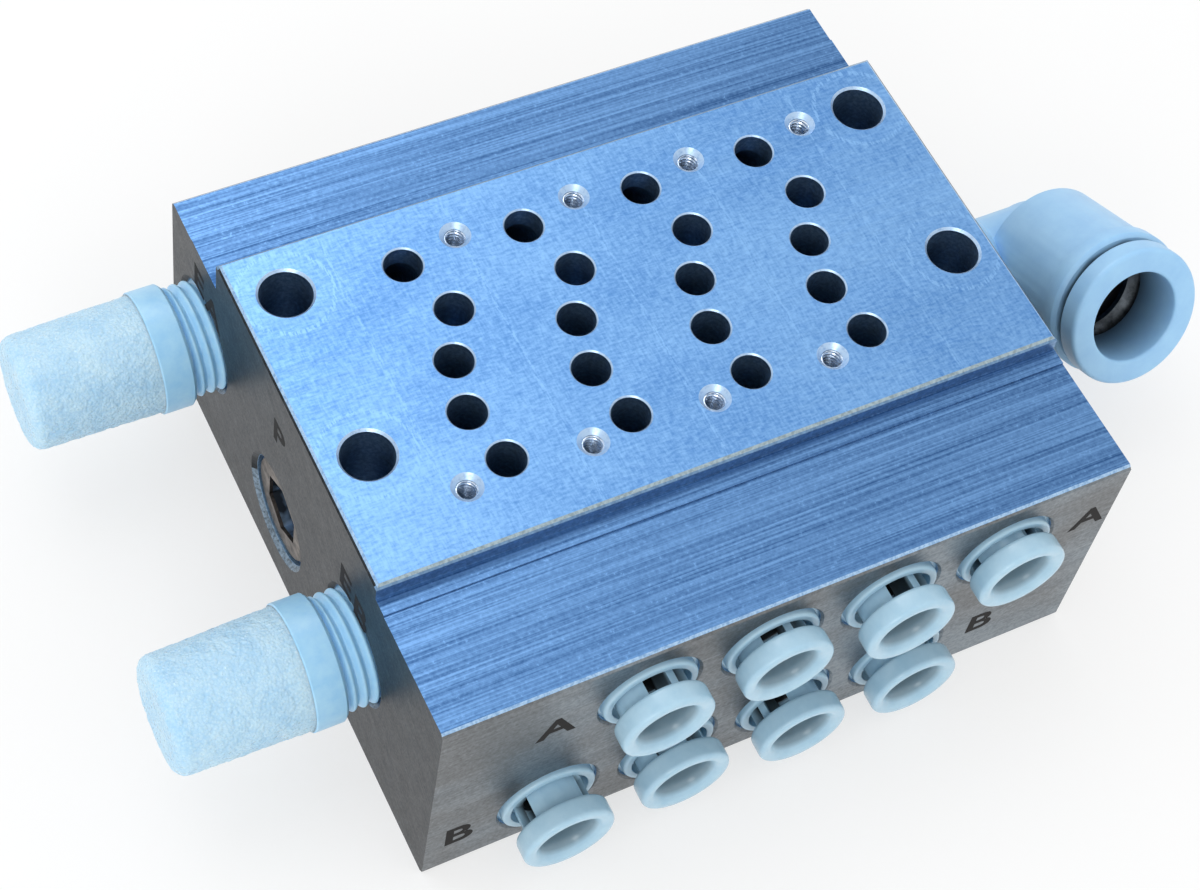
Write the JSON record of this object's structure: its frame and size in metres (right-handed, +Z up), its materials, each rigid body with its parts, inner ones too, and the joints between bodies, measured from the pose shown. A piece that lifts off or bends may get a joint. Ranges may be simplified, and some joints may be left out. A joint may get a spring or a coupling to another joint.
{
  "type": "pneumatic manifold block",
  "caption": "Aluminium air manifold block with a valve pad, push-in tube fittings on the front, exhaust silencers at one end and a swivel elbow supply fitting at the other.",
  "frame": {"origin": "centre of the block's flat underside", "axes": "+X along the block from the silencers to the elbow, -Y out of the tube fittings at the front, +Z up through the valve pad"},
  "size_m": [0.0955, 0.0563, 0.0255],
  "materials": {
    "block_aluminium": "machined, satin",
    "guide_resin": "satin",
    "ring_resin": "satin",
    "spring_steel": "satin",
    "seal_rubber": "matte",
    "plated_brass": "nickel plated",
    "plated_steel": "plated",
    "silencer_resin": "translucent moulding",
    "silencer_porous": "granular, porous",
    "elbow_resin": "matte"
  },
  "bodies": {
    "block": {"manifold_block": "block_aluminium", "guide_a1": "guide_resin", "collet_a1": "spring_steel", "tube_seal_a1": "seal_rubber", "guide_a2": "guide_resin", "collet_a2": "spring_steel", "tube_seal_a2": "seal_rubber", "guide_a3": "guide_resin", "collet_a3": "spring_steel", "tube_seal_a3": "seal_rubber", "guide_a4": "guide_resin", "collet_a4": "spring_steel", "tube_seal_a4": "seal_rubber", "guide_b1": "guide_resin", "collet_b1": "spring_steel", "tube_seal_b1": "seal_rubber", "guide_b2": "guide_resin", "collet_b2": "spring_steel", "tube_seal_b2": "seal_rubber", "guide_b3": "guide_resin", "collet_b3": "spring_steel", "tube_seal_b3": "seal_rubber", "guide_b4": "guide_resin", "collet_b4": "spring_steel", "tube_seal_b4": "seal_rubber", "elbow_stud": "plated_brass", "elbow_stem_seal": "seal_rubber", "silencer_body_ea": "silencer_resin", "silencer_element_ea": "silencer_porous", "silencer_body_eb": "silencer_resin", "silencer_element_eb": "silencer_porous", "port_plug_p": "plated_steel", "port_plug_ea": "plated_steel", "port_plug_eb": "plated_steel"},
    "ring_a1": {"release_ring_a1": "ring_resin"},
    "ring_a2": {"release_ring_a2": "ring_resin"},
    "ring_a3": {"release_ring_a3": "ring_resin"},
    "ring_a4": {"release_ring_a4": "ring_resin"},
    "ring_b1": {"release_ring_b1": "ring_resin"},
    "ring_b2": {"release_ring_b2": "ring_resin"},
    "ring_b3": {"release_ring_b3": "ring_resin"},
    "ring_b4": {"release_ring_b4": "ring_resin"},
    "elbow": {"elbow_body": "elbow_resin", "elbow_guide": "guide_resin", "elbow_collet": "spring_steel", "elbow_tube_seal": "seal_rubber"},
    "elbow_ring": {"elbow_release_ring": "ring_resin"}
  },
  "joints": [
    {"name": "ring_a1_slide", "type": "slide", "parent": "block", "child": "ring_a1", "axis": [0, 1, 0], "range_m": [-0.00075, 0.0011]},
    {"name": "ring_a2_slide", "type": "slide", "parent": "block", "child": "ring_a2", "axis": [0, 1, 0], "range_m": [-0.00125, 0.0006]},
    {"name": "ring_a3_slide", "type": "slide", "parent": "block", "child": "ring_a3", "axis": [0, 1, 0], "range_m": [-0.0007, 0.00115]},
    {"name": "ring_a4_slide", "type": "slide", "parent": "block", "child": "ring_a4", "axis": [0, 1, 0], "range_m": [-0.0013, 0.00055]},
    {"name": "ring_b1_slide", "type": "slide", "parent": "block", "child": "ring_b1", "axis": [0, 1, 0], "range_m": [-0.00005, 0.0018]},
    {"name": "ring_b2_slide", "type": "slide", "parent": "block", "child": "ring_b2", "axis": [0, 1, 0], "range_m": [-0.0008, 0.00105]},
    {"name": "ring_b3_slide", "type": "slide", "parent": "block", "child": "ring_b3", "axis": [0, 1, 0], "range_m": [-0.00075, 0.0011]},
    {"name": "ring_b4_slide", "type": "slide", "parent": "block", "child": "ring_b4", "axis": [0, 1, 0], "range_m": [-0.0009, 0.00095]},
    {"name": "elbow_swivel", "type": "hinge", "parent": "block", "child": "elbow", "pos_m": [0.0433, 0.00375, 0.0082], "axis": [1, 0, 0], "continuous": true},
    {"name": "elbow_ring_slide", "type": "slide", "parent": "elbow", "child": "elbow_ring", "axis": [0, 0.8918, -0.4524], "range_m": [-0.00025, 0.0006]}
  ]
}
